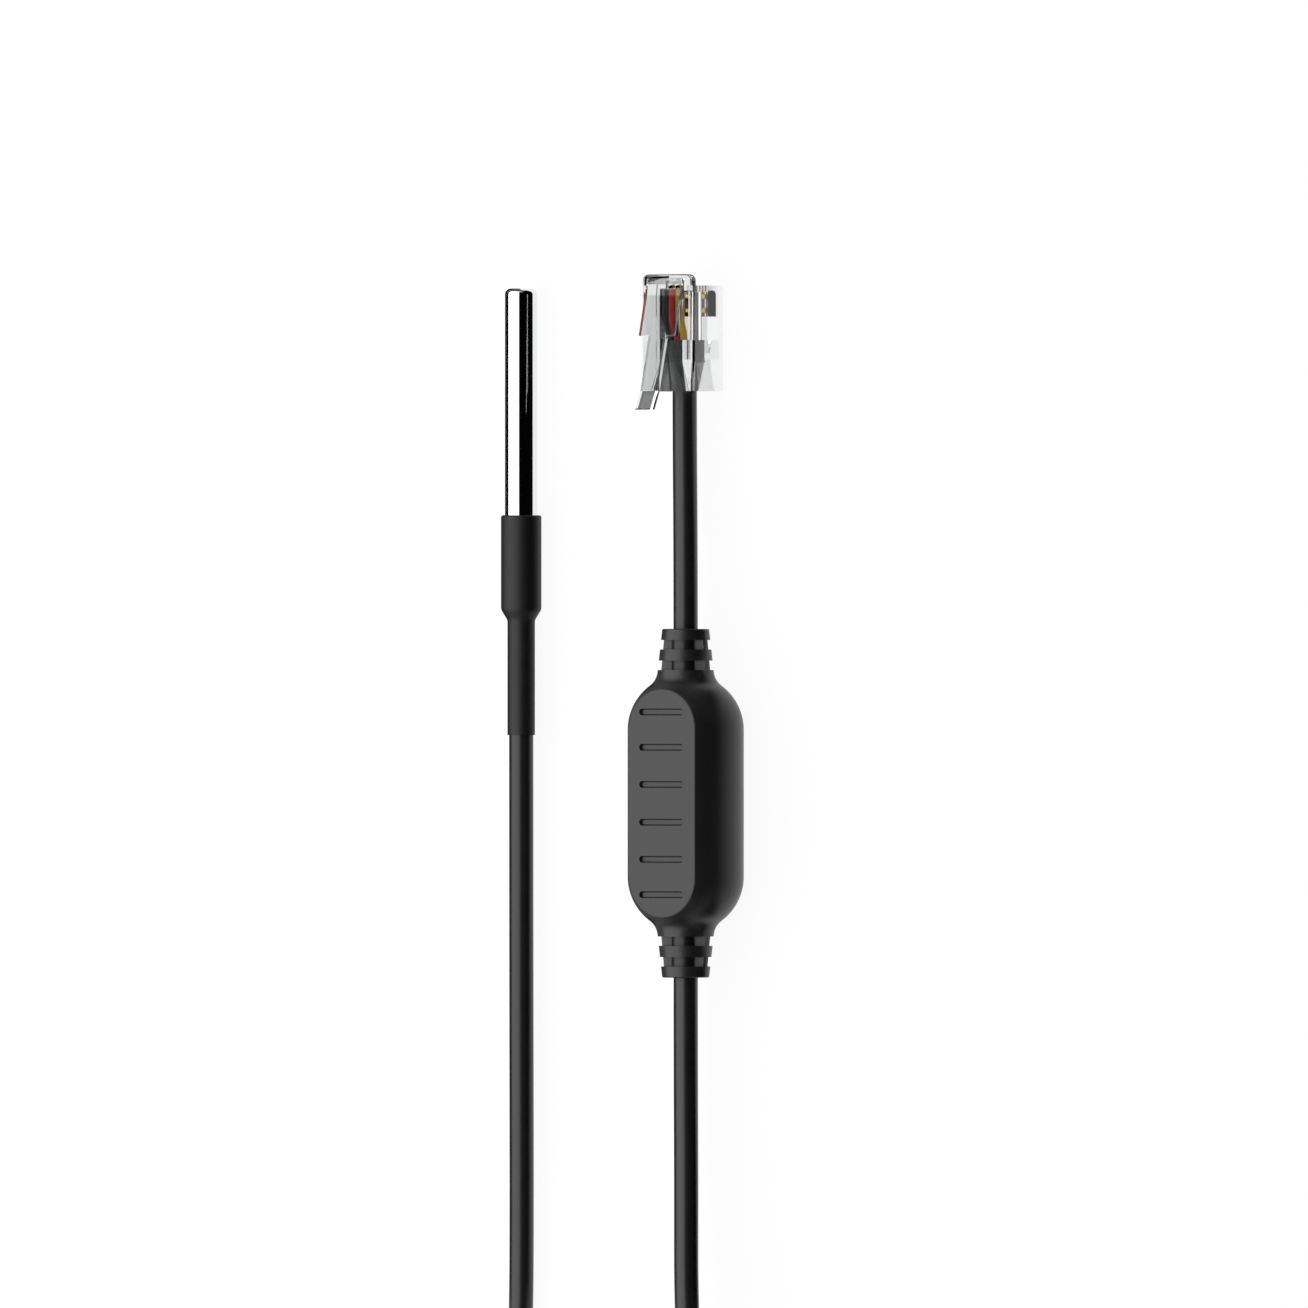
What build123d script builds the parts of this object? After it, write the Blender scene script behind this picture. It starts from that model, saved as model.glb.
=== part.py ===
from build123d import *
import math
import os

# A plug-in temperature sensor laid out on a bench: a steel probe, a long cable,
# a moulded in-line module and a clear four-contact modular plug.
# Frame: +Z up, origin under the middle of the module, which lies on its flat at z = 0.
# The module's axis runs along Y, with the plug towards +Y. All sizes are millimetres and degrees.

# Cable and wires
cable_d = 3.0
wire_d = 0.9
wire_colours = ("black", "red", "yellow")
wire_pitch = 0.95            # wires side by side where a jacket ends
lead_d = 0.6                 # thermistor leads in the probe
lead_pitch = 1.0

# Probe tube
probe_d = 4.0
probe_wall = 0.3
probe_end_wall = 0.4
probe_tip_radius = 0.7       # rounded edge at the closed end
probe_exposed = 28.0         # bare tube in front of the sleeve
probe_grip = 11.4            # tube inside the sleeve
jacket_in_probe = 8.0        # cable inside the tube's mouth
crimp_depth = 0.2            # groove rolled into the tube, which the sleeve's front edge shrinks into
crimp_width = 1.0
bead_d = 1.8
bead_length = 3.2
bead_nose_radius = 0.7
bead_standoff = 0.6          # resin between the bead and the tube's end

# Heat-shrink sleeve
sleeve_wall = 0.5            # over the tube
sleeve_narrow_wall = 0.2     # over the cable
sleeve_wide_length = 11.65
sleeve_step_length = 1.3
sleeve_narrow_length = 14.2
sleeve_step_radius = 1.0     # soft bends of the step

# In-line module
module_d = 14.3
module_flat_height = 5.0     # from the axis to each flat
module_body_length = 30.0    # between the bases of the two strain reliefs
shoulder_radius = 6.8
neck_fillet = 2.4
flat_edge_fillet = 0.3
groove_offsets = (2.32, 6.89, 11.23)  # along the module, on both sides of its middle
groove_length = 6.8
groove_width = 0.85
groove_depth = 0.4
groove_draft = 22.0          # of the groove's walls, for the mould

# Slotted strain relief at each end of the module
relief_length = 6.45
relief_base_d = 7.2
relief_end_d = 5.78
relief_ring = 1.37
relief_slot = 1.16
relief_slot_count = 2
relief_core_wall = 0.25      # round the cable, at the bottom of a slot
relief_web = 0.95            # flat web that joins the rings on both sides
relief_end_fillet = 0.2

# Circuit board inside the module
board_width = 8.0
board_length = 24.0
board_thickness = 0.8
board_drop = 1.8             # underside below the module's axis
board_headroom = 2.7
board_wire_length = 4.0
chip_width = 3.9
chip_length = 4.9
chip_height = 1.4
chip_legs_per_side = 4
chip_leg_pitch = 1.27
chip_leg_width = 0.4
chip_leg_reach = 1.0
chip_leg_thickness = 0.2
capacitor_size = (1.25, 2.0, 1.1)
capacitor_offset = 2.6       # sideways from the board's middle
capacitor_gap = 1.0          # from the chip

# Modular plug, lying on its contact face with the latch up
plug_width = 7.65
plug_height = 6.6
plug_length = 13.0
plug_edge = 0.3
plug_lip_length = 1.4        # thin lip that carries the latch, past the nose
plug_lip_height = 0.9
plug_lip_corner = 0.9
plug_axis_height = 2.9       # cable axis above the contact face
funnel_width = 5.8
funnel_height = 4.6
funnel_lift = 0.2            # funnel's middle above the cable axis
funnel_depth = 3.5
funnel_corner = 0.8
jacket_clearance = 0.1
jacket_in_plug = 6.3
wire_clearance = 0.1
nose_wall = 0.8              # in front of the wire ends
wire_end_gap = 0.2
wire_fan_start = 0.6         # straight stretch of wire out of the jacket
wire_fan_end = 2.3
wire_bend_radius = 1.6
contact_count = 4
contact_pitch = 1.02
contact_thickness = 0.36
contact_length = 3.2
contact_setback = 0.6        # from the nose
contact_recess = 0.35        # from the contact face
contact_blade_height = 1.6
contact_corner = 0.6
contact_tine_width = 0.7
contact_tine_inset = 0.4
contact_tine_tip = 0.4
contact_tine_over = 0.2      # tine's top above the wire's axis
latch_thickness = 0.9
latch_base_width = 5.4
latch_tongue_width = 2.3
latch_root_setback = 0.5     # from the lip's front
latch_root_drop = 0.1        # strip's middle below the latch face at its root
latch_shoulder = 6.2         # from the nose back to the locking shoulders
latch_angle = 14.0
latch_flare_angle = 24.6
latch_overhang = 2.3         # past the plug's rear
anchor_width = 3.0           # bar that presses on the cable jacket
anchor_height = 0.9
anchor_length = 1.6
anchor_nose = 0.35
window_width = 4.2
window_length = 2.4

# Put-away coil and its tie
coil_layers = 4
coil_turns_per_layer = 3
coil_mean_d = 36.0
coil_turns = 10.5            # a little under a turn where the cable steps up a layer
coil_turn_gap = 0.05
coil_chamfer = 0.9           # corners of the bundle's section
tie_width = 2.5
tie_thickness = 0.5
tie_head_width = 4.0
tie_head_depth = 2.8
tie_head_height = 3.4

# Places on the bench
probe_x = -27.35
probe_tip_y = 63.5
plug_x = -1.75
plug_rear_y = 50.7
coil_x = -15.0
coil_y = -92.0

# Worked out from the sizes above
cable_r = cable_d / 2
wire_r = wire_d / 2
sleeve_r = probe_d / 2 + sleeve_wall
sleeve_narrow_r = cable_r + sleeve_narrow_wall
probe_z = sleeve_r
tube_length = probe_exposed + probe_grip
sleeve_length = sleeve_wide_length + sleeve_step_length + sleeve_narrow_length
jacket_start_y = probe_tip_y - tube_length + jacket_in_probe
module_z = module_flat_height
neck_y = module_body_length / 2
module_end_y = neck_y + relief_length
board_end_y = board_length / 2
jacket_end_y = plug_rear_y + jacket_in_plug
coil_pitch = cable_d + coil_turn_gap
coil_width = coil_pitch * (coil_turns_per_layer - 1) + cable_d
coil_height = coil_pitch * (coil_layers - 1) + cable_d
coil_mean_r = coil_mean_d / 2

# The cable's route, from point to point
bend_share = 0.45            # of the shorter run, taken up by a bend
probe_route = [
    (probe_x, jacket_start_y, probe_z),
    (probe_x, -14.0, probe_z),
    (-27.75, -62.5, 1.6),
    (-31.2, -88.0, 2.4),
]
module_route = [
    (0, -board_end_y, module_z),
    (0, -29.5, module_z),
    (-2.44, -60.0, 1.6),
    (-1.2, -74.5, 4.6),
    (1.5, -88.0, 10.8),
]
plug_route = [
    (0, board_end_y, module_z),
    (0, 29.4, module_z),
    (plug_x, 47.2, plug_axis_height),
    (plug_x, jacket_end_y, plug_axis_height),
]


def block(x_span, y_span, z_span):
    size = [high - low for low, high in (x_span, y_span, z_span)]
    middle = [(high + low) / 2 for low, high in (x_span, y_span, z_span)]
    return Pos(*middle) * Box(*size)


def turned(points):
    return revolve(make_face(Polyline(*points, close=True)), axis=Axis.Y)


def rod(radius, start, end):
    direction = Vector(*end) - Vector(*start)
    return extrude(Plane(origin=start, z_dir=direction) * Circle(radius), amount=direction.length)


def tube_along(points, radius, radii):
    path = FilletPolyline(*points, radius=radii)
    return sweep(Plane(origin=path @ 0, z_dir=path % 0) * Circle(radius), path=path), path.length


def cable_along(name, points):
    # Each bend is as large as its two runs allow
    runs = [Vector(*b) - Vector(*a) for a, b in zip(points, points[1:])]
    radii = []
    for before, after in zip(runs, runs[1:]):
        half_turn = math.radians(before.get_angle(after)) / 2
        radii.append(bend_share * min(before.length, after.length) / math.tan(half_turn))
    solid, length = tube_along(points, cable_r, radii)
    share = solid.volume / (math.pi * cable_r ** 2 * length)
    print(name, "bend radii", [round(radius) for radius in radii], "length", round(length, 1),
          "volume over section times length", round(share, 5))
    return solid, length


def at_probe(solid):
    return Pos(probe_x, probe_tip_y, probe_z) * solid


def at_module(solid):
    return Pos(0, 0, module_z) * solid


def at_plug(solid):
    return Pos(plug_x, plug_rear_y, 0) * solid


# Probe, modelled with its tip at y = 0 and its mouth towards -Y

def rolled_groove(radius):
    # Points along a wall of the tube where the groove is rolled in, from the sleeve's front edge back
    front = -probe_exposed
    back = front - crimp_width
    groove_r = radius - crimp_depth
    return [(radius, front), (groove_r, front - crimp_depth),
            (groove_r, back + crimp_depth), (radius, back)]


def closed_wall(radius, end_y):
    # The solid inside a wall of the tube, from its closed end to the mouth
    mouth = -tube_length
    return turned([(0, end_y), (radius, end_y), *rolled_groove(radius), (radius, mouth), (0, mouth)])


def probe_bore():
    bore = closed_wall(probe_d / 2 - probe_wall, -probe_end_wall)
    return fillet(bore.edges().sort_by(Axis.Y)[-1], max(probe_tip_radius - probe_wall, probe_wall))


def probe_tube():
    outer = closed_wall(probe_d / 2, 0)
    return fillet(outer.edges().sort_by(Axis.Y)[-1], probe_tip_radius) - probe_bore()


def thermistor_bead():
    front = -probe_end_wall - bead_standoff
    back = front - bead_length
    bead = turned([(0, front), (bead_d / 2, front), (bead_d / 2, back), (0, back)])
    return fillet(bead.edges().sort_by(Axis.Y)[-1], bead_nose_radius)


def thermistor_lead(side):
    x = side * lead_pitch / 2
    bead_back = -probe_end_wall - bead_standoff - bead_length
    return rod(lead_d / 2, (x, bead_back, 0), (x, jacket_in_probe - tube_length, 0))


def potting_resin():
    jacket = rod(cable_r, (0, jacket_in_probe - tube_length, 0), (0, -tube_length, 0))
    return probe_bore() - thermistor_bead() - thermistor_lead(-1) - thermistor_lead(1) - jacket


def heat_shrink_sleeve():
    front = -probe_exposed
    step = front - sleeve_wide_length
    narrow = step - sleeve_step_length
    back = front - sleeve_length
    mouth = -tube_length
    inside = rolled_groove(probe_d / 2)[::-1]
    outline = make_face(Polyline(
        (sleeve_r, front), (sleeve_r, step), (sleeve_narrow_r, narrow), (sleeve_narrow_r, back),
        (cable_r, back), (cable_r, mouth - sleeve_step_length), (probe_d / 2, mouth), *inside, close=True))
    for corner in ((sleeve_r, step), (sleeve_narrow_r, narrow)):
        outline = fillet(outline.vertices().sort_by_distance((*corner, 0))[0], sleeve_step_radius)
    rim = outline.vertices().sort_by_distance((sleeve_r, front, 0))[0]
    outline = fillet(rim, sleeve_wall / 2)
    return revolve(outline, axis=Axis.Y)


# Module, modelled with its axis on the Y axis

def module_outline():
    body_r = module_d / 2
    base_r = relief_base_d / 2
    end_r = relief_end_d / 2
    shoulder_rise = math.sqrt(shoulder_radius ** 2 - (base_r - body_r + shoulder_radius) ** 2)
    shoulder_y = neck_y - shoulder_rise
    half = [
        Line((0, 0), (body_r, 0)),
        Line((body_r, 0), (body_r, shoulder_y)),
        TangentArc((body_r, shoulder_y), (base_r, neck_y), tangent=(0, 1)),
        Line((base_r, neck_y), (end_r, module_end_y)),
        Line((end_r, module_end_y), (0, module_end_y)),
        Line((0, module_end_y), (0, 0)),
    ]
    outline = make_face(half)
    outline = fillet(outline.vertices().sort_by_distance((base_r, neck_y, 0))[0], neck_fillet)
    return fillet(outline.vertices().sort_by_distance((end_r, module_end_y, 0))[0], relief_end_fillet)


def relief_slots(end):
    # Slots cut in from above and below, down to a flat web and a thin wall round the cable
    reach = relief_base_d
    slots = Part()
    for index in range(relief_slot_count):
        outer_y = module_end_y - relief_ring - index * (relief_ring + relief_slot)
        span = sorted((end * outer_y, end * (outer_y - relief_slot)))
        cut = block((-reach, reach), span, (-reach, reach))
        cut -= block((-reach, reach), span, (-relief_web / 2, relief_web / 2))
        cut -= rod(cable_r + relief_core_wall, (0, span[0], 0), (0, span[1], 0))
        slots += cut
    return slots


def grip_grooves():
    # Cut down from the upper flat, narrower at the floor
    flat = Plane((0, 0, module_flat_height), z_dir=(0, 0, -1))
    cutter = extrude(flat * SlotOverall(groove_length, groove_width),
                     amount=groove_depth, taper=groove_draft)
    return Part() + [Pos(0, side * y, 0) * cutter for y in groove_offsets for side in (-1, 1)]


def board_pocket():
    floor_z = -board_drop
    side = board_width / 2
    return block((-side, side), (-board_end_y, board_end_y),
                 (floor_z, floor_z + board_thickness + board_headroom))


def module_shell():
    half = revolve(module_outline(), axis=Axis.Y)
    shell = half + mirror(half, about=Plane.XZ)
    shell &= block((-module_d, module_d), (-module_d * 2, module_d * 2),
                   (-module_flat_height, module_flat_height))
    flat_edges = [edge for edge in shell.edges()
                  if abs(abs(edge.center().Z) - module_flat_height) < 1e-4]
    shell = fillet(flat_edges, flat_edge_fillet)
    shell -= relief_slots(1) + relief_slots(-1) + grip_grooves()
    shell -= rod(cable_r, (0, -module_end_y, 0), (0, module_end_y, 0))
    return shell - board_pocket()


def module_board():
    side = board_width / 2
    return block((-side, side), (-board_end_y, board_end_y), (-board_drop, board_thickness - board_drop))


def converter_chip():
    foot_z = board_thickness - board_drop
    chip = Pos(0, 0, foot_z) * Box(chip_width, chip_length, chip_height,
                                   align=(Align.CENTER, Align.CENTER, Align.MIN))
    leg = Box(chip_width + 2 * chip_leg_reach, chip_leg_width, chip_leg_thickness,
              align=(Align.CENTER, Align.CENTER, Align.MIN))
    first = -chip_leg_pitch * (chip_legs_per_side - 1) / 2
    for index in range(chip_legs_per_side):
        chip += Pos(0, first + index * chip_leg_pitch, foot_z) * leg
    return chip


def board_capacitor():
    foot_z = board_thickness - board_drop
    body = Box(*capacitor_size, align=(Align.CENTER, Align.MIN, Align.MIN))
    return Pos(-capacitor_offset, chip_length / 2 + capacitor_gap, foot_z) * body


def board_wire(place, end):
    z = board_thickness - board_drop + wire_r
    x = place * wire_pitch
    return rod(wire_r, (x, end * board_end_y, z), (x, end * (board_end_y - board_wire_length), z))


# Plug, modelled with its rear at y = 0, its nose towards +Y and its contact face at z = 0

def contact_x(index):
    return (index - (contact_count - 1) / 2) * contact_pitch


def plug_wire(index):
    x_jacket = (index - 1) * wire_pitch
    x_contact = contact_x(index)
    fan_start = jacket_in_plug + wire_fan_start
    points = [
        (x_jacket, jacket_in_plug, plug_axis_height),
        (x_jacket, fan_start, plug_axis_height),
        (x_contact, jacket_in_plug + wire_fan_end, plug_axis_height),
        (x_contact, plug_length - nose_wall - wire_end_gap, plug_axis_height),
    ]
    return tube_along(points, wire_r, [wire_bend_radius, wire_bend_radius])[0]


def plug_contact(index):
    front = plug_length - contact_setback
    back = front - contact_length
    blade_top = contact_recess + contact_blade_height
    tine_top = plug_axis_height + contact_tine_over
    tines = [(front - contact_tine_inset, front - contact_tine_inset - contact_tine_width),
             (back + contact_tine_inset + contact_tine_width, back + contact_tine_inset)]
    outline = [(back, contact_recess), (front, contact_recess), (front, blade_top)]
    for tine_front, tine_back in tines:
        middle = (tine_front + tine_back) / 2
        outline += [(tine_front, blade_top), (middle + contact_tine_tip / 2, tine_top),
                    (middle - contact_tine_tip / 2, tine_top), (tine_back, blade_top)]
    outline.append((back, blade_top))
    face = make_face(Polyline(*outline, close=True))
    face = fillet(face.vertices().sort_by_distance((front, contact_recess, 0))[0], contact_corner)
    blade = extrude(Plane.YZ * face, amount=contact_thickness / 2, both=True)
    blade = Pos(contact_x(index), 0, 0) * blade
    if index < len(wire_colours):
        blade -= plug_wire(index)
    return blade


def latch_strip(width, back_y, front_y, bend_y):
    # A bent strip between two places along the plug, straight on each side of bend_y
    root_y = plug_length + plug_lip_length - latch_root_setback
    root_z = plug_height - latch_root_drop

    def middle(y):
        straight_y = max(y, bend_y)
        rise = (root_y - straight_y) * math.tan(math.radians(latch_angle))
        return root_z + rise + (straight_y - y) * math.tan(math.radians(latch_flare_angle))

    places = [front_y, bend_y, back_y] if back_y < bend_y else [front_y, back_y]
    below = [(y, middle(y) - latch_thickness / 2) for y in places]
    above = [(y, middle(y) + latch_thickness / 2) for y in reversed(places)]
    outline = make_face(Polyline(*below, *above, close=True))
    return extrude(Plane.YZ * outline, amount=width / 2, both=True)


def plug_latch():
    root_y = plug_length + plug_lip_length - latch_root_setback
    shoulder_y = plug_length - latch_shoulder
    base = latch_strip(latch_base_width, shoulder_y, root_y, 0)
    tongue = latch_strip(latch_tongue_width, -latch_overhang, root_y, 0)
    return base + tongue


def plug_block():
    side = plug_width / 2
    body = block((-side, side), (0, plug_length), (0, plug_height))
    body = fillet(body.edges().filter_by(Axis.Y), plug_edge)
    lip_end = plug_length + plug_lip_length
    lip = block((-side, side), (plug_length - plug_lip_length, lip_end),
                (plug_height - plug_lip_height, plug_height))
    lip = fillet(lip.edges().filter_by(Axis.Z).group_by(Axis.Y)[-1], plug_lip_corner)
    lip = fillet(lip.edges().filter_by(Axis.Y).group_by(Axis.Z)[-1], plug_edge)
    return body + lip


def plug_funnel():
    channel = cable_d + 2 * jacket_clearance
    mouth = Plane((0, 0, plug_axis_height + funnel_lift), x_dir=(1, 0, 0), z_dir=(0, 1, 0))
    throat = Plane((0, funnel_depth, plug_axis_height), x_dir=(1, 0, 0), z_dir=(0, 1, 0))
    throat_corner = jacket_clearance * 2
    return loft([mouth * RectangleRounded(funnel_width, funnel_height, funnel_corner),
                 throat * RectangleRounded(channel, channel, throat_corner)])


def plug_hollow():
    channel_r = cable_r + jacket_clearance
    chamber_side = contact_x(contact_count - 1) + wire_r + wire_clearance
    chamber_r = wire_r + wire_clearance
    hollow = plug_funnel()
    hollow += block((-channel_r, channel_r), (funnel_depth, jacket_in_plug),
                    (plug_axis_height - channel_r, plug_axis_height + channel_r))
    hollow += block((-chamber_side, chamber_side), (jacket_in_plug, plug_length - nose_wall),
                    (plug_axis_height - chamber_r, plug_axis_height + chamber_r))
    window_front = jacket_in_plug
    hollow += block((-window_width / 2, window_width / 2), (window_front - window_length, window_front),
                    (-plug_edge, plug_axis_height))
    slot_back = plug_length - contact_setback - contact_length
    slot_side = contact_thickness / 2
    for index in range(contact_count):
        x = contact_x(index)
        hollow += block((x - slot_side, x + slot_side), (slot_back, plug_length + plug_edge),
                        (-plug_edge, plug_axis_height - chamber_r))
    return hollow


def plug_anchor():
    # Bar on the window's front wall that presses up against the jacket
    top = plug_axis_height - cable_r
    front = jacket_in_plug
    root = front + anchor_nose
    back = front - anchor_length
    outline = make_face(Polyline(
        (root, top - anchor_height), (root, top), (back, top), (back, top - anchor_nose), close=True))
    return extrude(Plane.YZ * outline, amount=anchor_width / 2, both=True)


def plug_body():
    return plug_block() + plug_latch() - plug_hollow() + plug_anchor()


# Coil and its tie, modelled round the Z axis with the floor at z = 0

def cable_coil():
    section = Rectangle(coil_width, coil_height)
    section = chamfer(section.vertices(), coil_chamfer)
    section = Pos(coil_mean_r, tie_thickness + coil_height / 2) * section
    return revolve(Plane.XZ * section, axis=Axis.Z)


def cable_tie():
    band_width = coil_width + 2 * tie_thickness
    band_height = coil_height + 2 * tie_thickness
    band_corner = coil_chamfer + tie_thickness
    section = Pos(-coil_mean_r, band_height / 2) * RectangleRounded(band_width, band_height, band_corner)
    band = extrude(Plane.YZ * section, amount=tie_width / 2, both=True)
    outer_y = -coil_mean_r - coil_width / 2
    head = block((-tie_head_width / 2, tie_head_width / 2),
                 (outer_y - tie_head_depth, outer_y + tie_thickness),
                 (band_height / 2 - tie_head_height / 2, band_height / 2 + tie_head_height / 2))
    head = fillet(head.edges().filter_by(Axis.Y), tie_thickness)
    return band + head - cable_coil()


# The whole sensor, one solid for each piece

coil = Pos(coil_x, coil_y, 0) * cable_coil()
probe_run, probe_run_length = cable_along("probe_cable", probe_route)
module_run, module_run_length = cable_along("module_cable", module_route)
plug_run, plug_run_length = cable_along("plug_cable", plug_route)

pieces = {
    "probe_tube": at_probe(probe_tube()),
    "potting_resin": at_probe(potting_resin()),
    "thermistor_bead": at_probe(thermistor_bead()),
    "thermistor_lead_1": at_probe(thermistor_lead(-1)),
    "thermistor_lead_2": at_probe(thermistor_lead(1)),
    "heat_shrink_sleeve": at_probe(heat_shrink_sleeve()),
    "probe_cable": probe_run - coil,
    "cable_coil": coil,
    "cable_tie": Pos(coil_x, coil_y, 0) * cable_tie(),
    "module_cable": module_run - coil,
    "module_shell": at_module(module_shell()),
    "module_board": at_module(module_board()),
    "converter_chip": at_module(converter_chip()),
    "board_capacitor": at_module(board_capacitor()),
    "board_wire_sense_1": at_module(board_wire(-0.5, -1)),
    "board_wire_sense_2": at_module(board_wire(0.5, -1)),
    "plug_cable": plug_run,
    "plug_body": at_plug(plug_body()),
}
for place, colour in enumerate(wire_colours):
    pieces["board_wire_" + colour] = at_module(board_wire(place - 1, 1))
    pieces["plug_wire_" + colour] = at_plug(plug_wire(place))
for index in range(contact_count):
    pieces["plug_contact_" + str(index + 1)] = at_plug(plug_contact(index))

coil_length = coil_turns * math.pi * coil_mean_d
print("long cable", round(probe_run_length + coil_length + module_run_length), "mm, of it",
      coil_turns, "turns", round(coil_length), "mm; short cable", round(plug_run_length), "mm")

os.makedirs("parts", exist_ok=True)
for name, solid in pieces.items():
    solid.label = name
    export_step(solid, "parts/" + name + ".step")
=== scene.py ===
import bpy
import math
from mathutils import Matrix, Vector


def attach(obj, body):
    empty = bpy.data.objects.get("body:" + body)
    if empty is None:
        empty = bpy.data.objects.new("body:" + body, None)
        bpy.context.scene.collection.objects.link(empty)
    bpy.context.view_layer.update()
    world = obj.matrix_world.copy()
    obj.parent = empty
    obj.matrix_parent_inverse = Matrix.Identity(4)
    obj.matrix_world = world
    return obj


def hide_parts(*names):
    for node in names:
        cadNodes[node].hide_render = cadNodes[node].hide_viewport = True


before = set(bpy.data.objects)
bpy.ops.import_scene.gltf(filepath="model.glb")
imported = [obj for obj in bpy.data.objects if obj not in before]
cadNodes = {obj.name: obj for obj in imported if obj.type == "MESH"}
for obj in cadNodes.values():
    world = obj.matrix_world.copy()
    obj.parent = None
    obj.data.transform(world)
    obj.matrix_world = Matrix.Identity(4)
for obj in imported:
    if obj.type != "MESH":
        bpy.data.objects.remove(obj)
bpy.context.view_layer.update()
scene = bpy.context.scene
millimetre = 0.001
print("frame loaded,", len(cadNodes), "nodes")


def toMetres(points):
    return [Vector(point) * millimetre for point in points]


def deselectAll():
    if bpy.context.object and bpy.context.object.mode == "EDIT":
        bpy.ops.object.mode_set(mode="OBJECT")
    bpy.ops.object.select_all(action="DESELECT")


# Materials

def srgb(hexColour):
    channels = [int(hexColour[i:i + 2], 16) / 255 for i in (1, 3, 5)]
    linear = [c / 12.92 if c <= 0.04045 else ((c + 0.055) / 1.055) ** 2.4 for c in channels]
    return (*linear, 1.0)


def addNode(material, kind, inputs={}, **settings):
    tree = material.node_tree
    node = tree.nodes.new(kind)
    for name, value in settings.items():
        setattr(node, name, value)
    for name, value in inputs.items():
        if isinstance(value, bpy.types.NodeSocket):
            tree.links.new(value, node.inputs[name])
        else:
            node.inputs[name].default_value = value
    return node


def emptyMaterial(name):
    material = bpy.data.materials.new(name)
    material.use_nodes = True
    material.node_tree.nodes.clear()
    return material


def newMaterial(name, inputs):
    material = emptyMaterial(name)
    surface = addNode(material, "ShaderNodeBsdfPrincipled", inputs)
    addNode(material, "ShaderNodeOutputMaterial", {"Surface": surface.outputs["BSDF"]})
    return material, surface


def grainScale(sizeMm):
    return 1 / (sizeMm * millimetre)      # noise scale whose blotches are about sizeMm across


glossDrift = 0.04


def addGrain(material, surface, dark, light, roughness, grainMm, depthMm, patchMm):
    # Fine bump, with colour and gloss that drift a little over the surface
    place = addNode(material, "ShaderNodeTexCoord")
    grain = addNode(material, "ShaderNodeTexNoise",
                    {"Vector": place.outputs["Object"], "Scale": grainScale(grainMm), "Detail": 3.0})
    patch = addNode(material, "ShaderNodeTexNoise",
                    {"Vector": place.outputs["Object"], "Scale": grainScale(patchMm), "Detail": 2.0})
    tint = addNode(material, "ShaderNodeMix",
                   {0: patch.outputs["Fac"], 6: srgb(dark), 7: srgb(light)}, data_type="RGBA")
    gloss = addNode(material, "ShaderNodeMapRange",
                    {"Value": patch.outputs["Fac"], "To Min": roughness - glossDrift,
                     "To Max": roughness + glossDrift})
    bump = addNode(material, "ShaderNodeBump",
                   {"Height": grain.outputs["Fac"], "Distance": depthMm * millimetre, "Strength": 1.0})
    tree = material.node_tree
    tree.links.new(tint.outputs[2], surface.inputs["Base Color"])
    tree.links.new(gloss.outputs["Result"], surface.inputs["Roughness"])
    tree.links.new(bump.outputs["Normal"], surface.inputs["Normal"])


def makeCableJacket():
    # Extruded soft PVC: satin black, faintly pebbled
    material, surface = newMaterial("extrudedPvcJacket", {"IOR": 1.49})
    addGrain(material, surface, "#212121", "#272727", 0.33, grainMm=0.35, depthMm=0.004, patchMm=3.0)
    return material


def makeHeatShrink():
    # Shrunk polyolefin: duller than the jacket, with a slightly wavy skin
    material, surface = newMaterial("shrunkPolyolefin", {"IOR": 1.44})
    addGrain(material, surface, "#131313", "#171717", 0.54, grainMm=0.6, depthMm=0.006, patchMm=2.0)
    return material


def makeModulePlastic():
    # Overmoulded PVC from a spark-eroded mould: satin black with a fine even texture
    material, surface = newMaterial("overmouldedPvc", {"IOR": 1.49})
    addGrain(material, surface, "#262626", "#2A2A2A", 0.38, grainMm=0.3, depthMm=0.004, patchMm=4.0)
    return material


def makePolishedSteel():
    # Stainless tube, ground and mirror polished: faint lines round the tube
    material, surface = newMaterial("polishedStainlessSteel",
                                    {"Metallic": 1.0, "Base Color": srgb("#ECEDEE")})
    place = addNode(material, "ShaderNodeTexCoord")
    lineScale = (grainScale(4.0), grainScale(0.25), grainScale(4.0))
    stretch = addNode(material, "ShaderNodeMapping", {"Vector": place.outputs["Object"], "Scale": lineScale})
    lines = addNode(material, "ShaderNodeTexNoise",
                    {"Vector": stretch.outputs["Vector"], "Scale": 1.0, "Detail": 4.0})
    gloss = addNode(material, "ShaderNodeMapRange",
                    {"Value": lines.outputs["Fac"], "To Min": 0.03, "To Max": 0.07})
    material.node_tree.links.new(gloss.outputs["Result"], surface.inputs["Roughness"])
    return material


def makeClearPlastic():
    # Moulded polycarbonate: water clear, glossy
    return newMaterial("clearPolycarbonate", {
        "Base Color": srgb("#E6E7E7"), "Roughness": 0.02, "IOR": 1.58, "Transmission Weight": 1.0})[0]


def makeGoldPlate():
    # Gold flash over nickel on a stamped blade
    material, surface = newMaterial("goldPlatedBronze", {"Metallic": 1.0})
    addGrain(material, surface, "#E0B45A", "#EBC66C", 0.22, grainMm=0.2, depthMm=0.002, patchMm=0.8)
    return material


def makeWireSkin(name, dark, light):
    # Extruded wire insulation, smooth and a little waxy
    material, surface = newMaterial(name, {"IOR": 1.5})
    addGrain(material, surface, dark, light, 0.35, grainMm=0.25, depthMm=0.002, patchMm=1.0)
    return material


def makePlain(name, dark, light, roughness):
    # Pieces sealed inside the probe and the module
    material, surface = newMaterial(name, {"IOR": 1.5})
    addGrain(material, surface, dark, light, roughness, grainMm=0.3, depthMm=0.003, patchMm=1.5)
    return material


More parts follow.
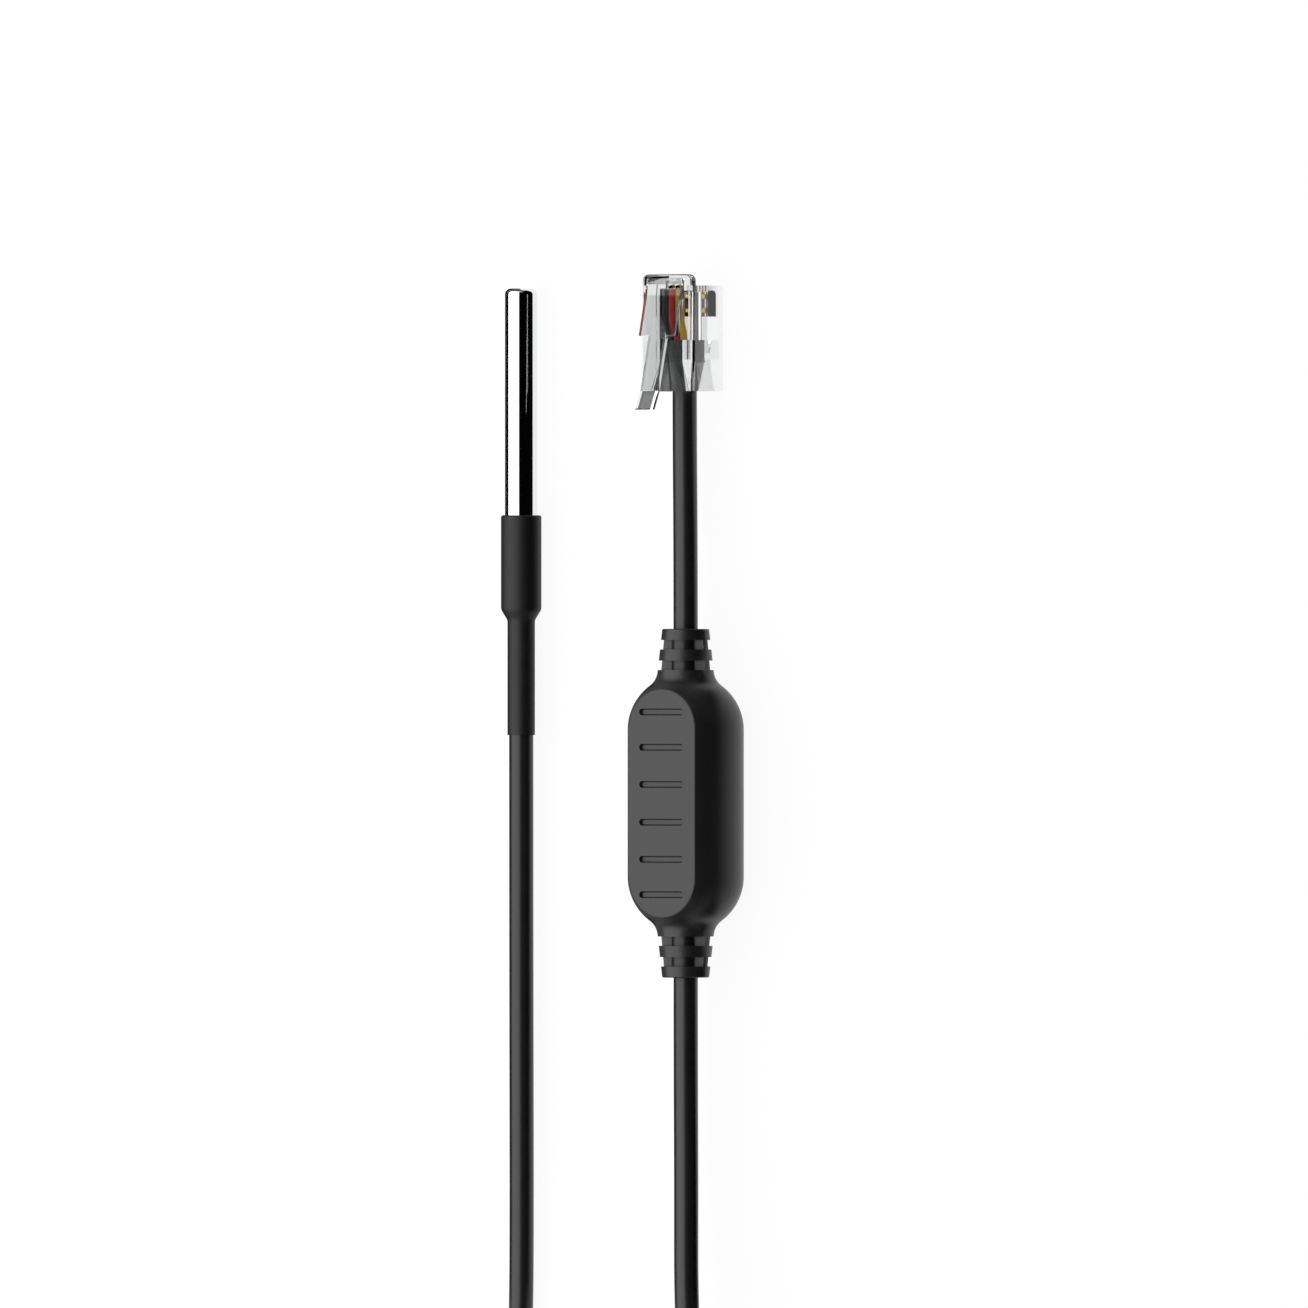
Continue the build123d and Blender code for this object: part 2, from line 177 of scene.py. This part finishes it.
jacket = makeCableJacket()
steel = makePolishedSteel()
wireBlack = makeWireSkin("blackWireInsulation", "#1E1E1E", "#262626")
wireRed = makeWireSkin("redWireInsulation", "#D4202A", "#DF2D34")
wireYellow = makeWireSkin("yellowWireInsulation", "#E2B52C", "#EAC23C")
gold = makeGoldPlate()
finishes = {
    "heat_shrink_sleeve": makeHeatShrink(),
    "module_shell": makeModulePlastic(),
    "plug_body": makeClearPlastic(),
    "cable_tie": makePlain("mouldedNylon", "#151515", "#1A1A1A", 0.4),
    "potting_resin": makePlain("castEpoxy", "#1A1A1A", "#202020", 0.3),
    "thermistor_bead": makePlain("thermistorGlass", "#6B3A20", "#7A4526", 0.25),
    "module_board": makePlain("solderMask", "#0E5B33", "#12683C", 0.35),
    "converter_chip": makePlain("chipEpoxy", "#1A1A1A", "#222222", 0.5),
    "board_capacitor": makePlain("capacitorCeramic", "#A98C66", "#B69A74", 0.45),
    "plug_wire_black": wireBlack,
    "plug_wire_red": wireRed,
    "plug_wire_yellow": wireYellow,
    "board_wire_black": wireBlack,
    "board_wire_red": wireRed,
    "board_wire_yellow": wireYellow,
    "board_wire_sense_1": wireBlack,
    "board_wire_sense_2": wireRed,
    "thermistor_lead_1": wireBlack,
    "thermistor_lead_2": wireRed,
    "plug_contact_1": gold,
    "plug_contact_2": gold,
    "plug_contact_3": gold,
    "plug_contact_4": gold,
    "probe_tube": steel,
}
for nodeName, finish in finishes.items():
    cadNodes[nodeName].data.materials.clear()
    cadNodes[nodeName].data.materials.append(finish)
print("materials made,", len(bpy.data.materials))


# Cables

def makeCable(name, points, diameter):
    curve = bpy.data.curves.new(name, "CURVE")
    curve.dimensions = "3D"
    curve.bevel_depth = diameter / 2
    curve.bevel_resolution = 12
    curve.resolution_u = 6
    curve.use_fill_caps = True
    spline = curve.splines.new("NURBS")
    spline.points.add(len(points) - 1)
    for knot, point in zip(spline.points, points):
        knot.co = (*point, 1.0)
    spline.order_u = 3
    spline.use_endpoint_u = True
    spline.use_smooth = True
    curve.materials.append(jacket)
    cable = bpy.data.objects.new(name, curve)
    scene.collection.objects.link(cable)
    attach(cable, "root")
    return cable


cableDiameter = 3.0 * millimetre
longCable = {
    "length": 1.382,
    "exit": (-27.35, 8.35, 2.5),             # out of the sleeve
    "fromProbe": [(-27.35, 32.1, 2.5), (-27.35, -14.0, 2.5), (-27.92, -58.0, 1.6), (-28.2, -66.0, 1.6),
                  (-31.3, -75.5, 1.8), (-35.6, -84.0, 2.0)],
    "toModule": [(6.05, -85.0, 11.1), (4.9, -75.0, 10.2), (2.4, -62.0, 8.1), (1.0, -47.0, 6.2),
                 (0.0, -31.0, 5.0), (0.0, -12.0, 5.0)],
    "coilCentre": (-15.0, -92.0),
    "coilRadius": 18.0,                      # at the middle of the bundle
    "coilFloor": 2.0,                        # axis of the lowest turns
    "pitch": 3.05,
    "layers": 4,
    "lanes": 3,
    "turns": 10.5,
    "step": 0.16,                            # of a turn, to change lane or layer
    "pointsPerTurn": 24,
}


def coilStations(cable):
    # Lane and layer along the winding: in across the first layer, out across the next
    places = []
    for layer in range(cable["layers"]):
        lanes = list(range(cable["lanes"]))
        places += [(lane, layer) for lane in (lanes if layer % 2 == 0 else lanes[::-1])]
    stations = []
    turn = 0.0
    for index, place in enumerate(places):
        stations.append((turn, place))
        rest = 1.0 - cable["step"]
        neighbours = places[max(index - 1, 0):index + 2]
        if any(other[1] != place[1] for other in neighbours):
            rest -= cable["step"]            # shorter before and after a climb, so that turns don't meet
        turn = cable["turns"] if index == len(places) - 1 else turn + rest
        stations.append((turn, place))
        turn += cable["step"]
    return stations


def coilPoints(cable):
    stations = coilStations(cable)
    points = []
    for index in range(round(cable["turns"] * cable["pointsPerTurn"]) + 1):
        turn = index / cable["pointsPerTurn"]
        after = next(i for i, station in enumerate(stations) if station[0] >= turn - 1e-9)
        startTurn, start = stations[max(after - 1, 0)]
        endTurn, end = stations[after]
        share = 0 if endTurn == startTurn else (turn - startTurn) / (endTurn - startTurn)
        share = share * share * (3 - 2 * share)
        lane, layer = (a + (b - a) * share for a, b in zip(start, end))
        radius = cable["coilRadius"] + cable["pitch"] * ((cable["lanes"] - 1) / 2 - lane)
        angle = math.pi * (1 + 2 * turn)     # starts on the probe's side, heading away
        centreX, centreY = cable["coilCentre"]
        points.append((centreX + radius * math.cos(angle), centreY + radius * math.sin(angle),
                       cable["coilFloor"] + cable["pitch"] * layer))
    return points


longRoute = longCable["fromProbe"] + coilPoints(longCable) + longCable["toModule"]
longPiece = makeCable("long_cable", toMetres(longRoute), cableDiameter)
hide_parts("probe_cable", "cable_coil", "module_cable")

plugLead = {
    "length": 0.045,
    "exit": (0.0, 21.45, 5.0),               # out of the strain relief
    "route": [(0.0, 12.0, 5.0), (0.0, 29.4, 5.0), (-1.75, 47.2, 2.9), (-1.75, 57.0, 2.9)],
}
plugLeadPiece = makeCable("plug_lead", toMetres(plugLead["route"]), cableDiameter)
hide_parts("plug_cable")
print("cables laid,", len(longRoute), "points")


# Camera, turned about the module's axis as in the photograph, with the cables upright in the picture

camera = {
    "turn": math.radians(37.1),              # from straight above, towards +X
    "aim": (-6.92, 18.36, 2.0),              # picture's middle: sideways, along the cables, towards the eye
    "halfView": 80.5,                        # millimetres from the middle to the picture's edge
    "lens": 1000.0,
    "sensor": 36.0,
}


def makeCamera():
    turn = camera["turn"]
    right = Vector((math.cos(turn), 0, -math.sin(turn)))
    up = Vector((0, 1, 0))
    back = Vector((math.sin(turn), 0, math.cos(turn)))
    sideways, along, towards = (value * millimetre for value in camera["aim"])
    distance = camera["halfView"] * millimetre * camera["lens"] / (camera["sensor"] / 2)
    data = bpy.data.cameras.new("camera")
    data.lens = camera["lens"]
    data.sensor_width = camera["sensor"]
    data.clip_end = 50
    eye = bpy.data.objects.new("camera", data)
    scene.collection.objects.link(eye)
    place = right * sideways + up * along + back * (towards + distance)
    eye.matrix_world = Matrix.Translation(place) @ Matrix((right, up, back)).transposed().to_4x4()
    scene.camera = eye


makeCamera()


# Studio: pale floor, one large softbox overhead on the left, dark flags

studio = {
    "floorSize": 6.0,
    "floorColour": "#505050",
    "floorGlow": 0.94,                       # brings the floor to white for the eye, not for the object
    "worldFill": 0.1,
    "softboxWidth": 1.0,
    "softboxLength": 1.3,
    "softboxDistance": 0.55,
    "softboxTilt": math.radians(25),         # from straight above, towards -X
    "softboxPower": 6.0,
    "clothColour": "#0A0A0A",
    "flagRadius": 0.75,
    "flagLength": 1.6,
    "flagSteps": 12,
    # Degrees: which way each flag stands from the object, then from and to what height
    "flags": {
        "rightFlag": (0, 20.0, 89.5),
        "leftFlag": (180, 62.0, 89.5),
        "plugFlag": (90, 63.0, 89.5),
        "coilFlag": (270, 63.0, 89.5),
    },
    # Black cards in millimetres: across and up from one edge to the other, then along the cables
    "cards": [
        ((-600.0, 0.05), (-31.6, 0.05), (-62.0, 35.0)),
        ((-600.0, 0.05), (-29.6, 0.05), (35.0, 110.0)),    # close beside the steel tube
        ((-21.8, 0.05), (-6.0, 0.05), (-62.0, 110.0)),
        ((-10.0, 0.05), (-10.0, 5.0), (-62.0, 110.0)),     # stands between the probe and the module
        ((6.0, 0.05), (600.0, 0.05), (-62.0, -20.0)),
        ((9.0, 0.05), (600.0, 0.05), (-20.0, 20.0)),
        ((6.5, 0.05), (600.0, 0.05), (20.0, 75.0)),
        ((-6.0, 0.05), (600.0, 0.05), (75.0, 110.0)),      # in front of the plug's nose
    ],
    "gauzeCard": 6,                          # which of the cards is gauze, beside the module
    "gauze": (9.0, 30.0),                    # from open to closed
    # Keep the softbox's reflection off the plug's upper face and off its latch
    "goboPlaces": [(-315.0, 61.7, 421.0), (-352.0, 279.0, 416.0)],
    "goboSize": (16.0, 26.0),
}


def seenDirectly(material):
    # 1 for camera, glossy and transmission rays, 0 for the rays that light the object
    path = addNode(material, "ShaderNodeLightPath")
    seen = path.outputs["Is Camera Ray"]
    for name in ("Is Glossy Ray", "Is Transmission Ray"):
        larger = addNode(material, "ShaderNodeMath", {0: seen, 1: path.outputs[name]}, operation="MAXIMUM")
        seen = larger.outputs[0]
    return seen


def makeFloor():
    deselectAll()
    bpy.ops.mesh.primitive_plane_add(size=studio["floorSize"])
    floor = bpy.context.object
    floor.name = "floor"
    material = emptyMaterial("paleFloor")
    paint = addNode(material, "ShaderNodeBsdfDiffuse", {"Color": srgb(studio["floorColour"])})
    glowLevel = addNode(material, "ShaderNodeMath", {0: seenDirectly(material), 1: studio["floorGlow"]},
                        operation="MULTIPLY")
    glow = addNode(material, "ShaderNodeEmission", {"Strength": glowLevel.outputs[0]})
    both = addNode(material, "ShaderNodeAddShader", {0: paint.outputs[0], 1: glow.outputs[0]})
    addNode(material, "ShaderNodeOutputMaterial", {"Surface": both.outputs[0]})
    floor.data.materials.append(material)


def makeWorld():
    world = bpy.data.worlds.new("studio")
    scene.world = world
    world.use_nodes = True
    world.node_tree.nodes.clear()
    level = addNode(world, "ShaderNodeMapRange",
                    {"Value": seenDirectly(world), "To Min": studio["worldFill"], "To Max": 1.0})
    sky = addNode(world, "ShaderNodeBackground", {"Strength": level.outputs["Result"]})
    addNode(world, "ShaderNodeOutputWorld", {"Surface": sky.outputs[0]})


def makeSoftbox():
    data = bpy.data.lights.new("softbox", "AREA")
    data.shape = "RECTANGLE"
    data.size = studio["softboxWidth"]
    data.size_y = studio["softboxLength"]
    data.energy = studio["softboxPower"]
    lamp = bpy.data.objects.new("softbox", data)
    scene.collection.objects.link(lamp)
    tilt = studio["softboxTilt"]
    lamp.location = Vector((-math.sin(tilt), 0, math.cos(tilt))) * studio["softboxDistance"]
    lamp.rotation_euler = (0, -tilt, 0)


def makeFlagCloth():
    material = emptyMaterial("blackFlagCloth")
    cloth = addNode(material, "ShaderNodeBsdfDiffuse", {"Color": srgb(studio["clothColour"])})
    addNode(material, "ShaderNodeOutputMaterial", {"Surface": cloth.outputs[0]})
    return material


def makeGradedCloth():
    # Black gauze that thickens to the right, for the soft shade on the module's flank
    material = emptyMaterial("gradedFlagCloth")
    place = addNode(material, "ShaderNodeTexCoord")
    across = addNode(material, "ShaderNodeSeparateXYZ", {"Vector": place.outputs["Object"]})
    start, end = (value * millimetre for value in studio["gauze"])
    cover = addNode(material, "ShaderNodeMapRange",
                    {"Value": across.outputs["X"], "From Min": start, "From Max": end})
    cloth = addNode(material, "ShaderNodeBsdfDiffuse", {"Color": srgb(studio["clothColour"])})
    holes = addNode(material, "ShaderNodeBsdfTransparent")
    both = addNode(material, "ShaderNodeMixShader",
                   {0: cover.outputs["Result"], 1: holes.outputs[0], 2: cloth.outputs[0]})
    addNode(material, "ShaderNodeOutputMaterial", {"Surface": both.outputs[0]})
    return material


flagCloth = makeFlagCloth()
gradedCloth = makeGradedCloth()


def makeCard(name, cloth, start, end, along):
    # Black card which only reflections and refractions show
    deselectAll()
    bpy.ops.mesh.primitive_plane_add(size=1)
    card = bpy.context.object
    card.name = name
    for vertex in card.data.vertices:
        across, up = end if vertex.co.x > 0 else start
        vertex.co = Vector((across, along[vertex.co.y > 0], up)) * millimetre
    card.data.materials.append(cloth)
    card.visible_camera = False
    card.visible_shadow = False
    card.visible_diffuse = False


def makeFlag(name, heading, fromAngle, toAngle):
    # Dark curved card on one side of the object, its angles measured from straight above
    deselectAll()
    bpy.ops.mesh.primitive_plane_add(size=studio["flagLength"])
    flag = bpy.context.object
    flag.name = name
    bpy.ops.object.mode_set(mode="EDIT")
    bpy.ops.mesh.subdivide(number_cuts=studio["flagSteps"])
    bpy.ops.object.mode_set(mode="OBJECT")
    turn = Matrix.Rotation(math.radians(heading), 3, "Z")
    for vertex in flag.data.vertices:
        share = vertex.co.x / studio["flagLength"] + 0.5
        angle = math.radians(fromAngle + (toAngle - fromAngle) * share)
        outward = math.sin(angle) * studio["flagRadius"]
        vertex.co = turn @ Vector((outward, vertex.co.y, math.cos(angle) * studio["flagRadius"]))
    flag.data.materials.append(flagCloth)
    flag.visible_camera = False
    flag.visible_transmission = False


def makeGobo(name, place):
    # Small dark card in front of the softbox
    deselectAll()
    bpy.ops.mesh.primitive_plane_add(size=1)
    gobo = bpy.context.object
    gobo.name = name
    width, length = studio["goboSize"]
    for vertex in gobo.data.vertices:
        corner = Vector((vertex.co.x * width, vertex.co.y * length, 0))
        vertex.co = (Vector(place) + corner) * millimetre
    gobo.data.materials.append(flagCloth)
    gobo.visible_camera = False


makeFloor()
makeWorld()
makeSoftbox()
for name, angles in studio["flags"].items():
    makeFlag(name, *angles)
for number, place in enumerate(studio["goboPlaces"], 1):
    makeGobo("gobo" + str(number), place)
for number, edges in enumerate(studio["cards"], 1):
    makeCard("card" + str(number), gradedCloth if number == studio["gauzeCard"] else flagCloth, *edges)
scene.view_settings.view_transform = "Standard"
print("studio set")
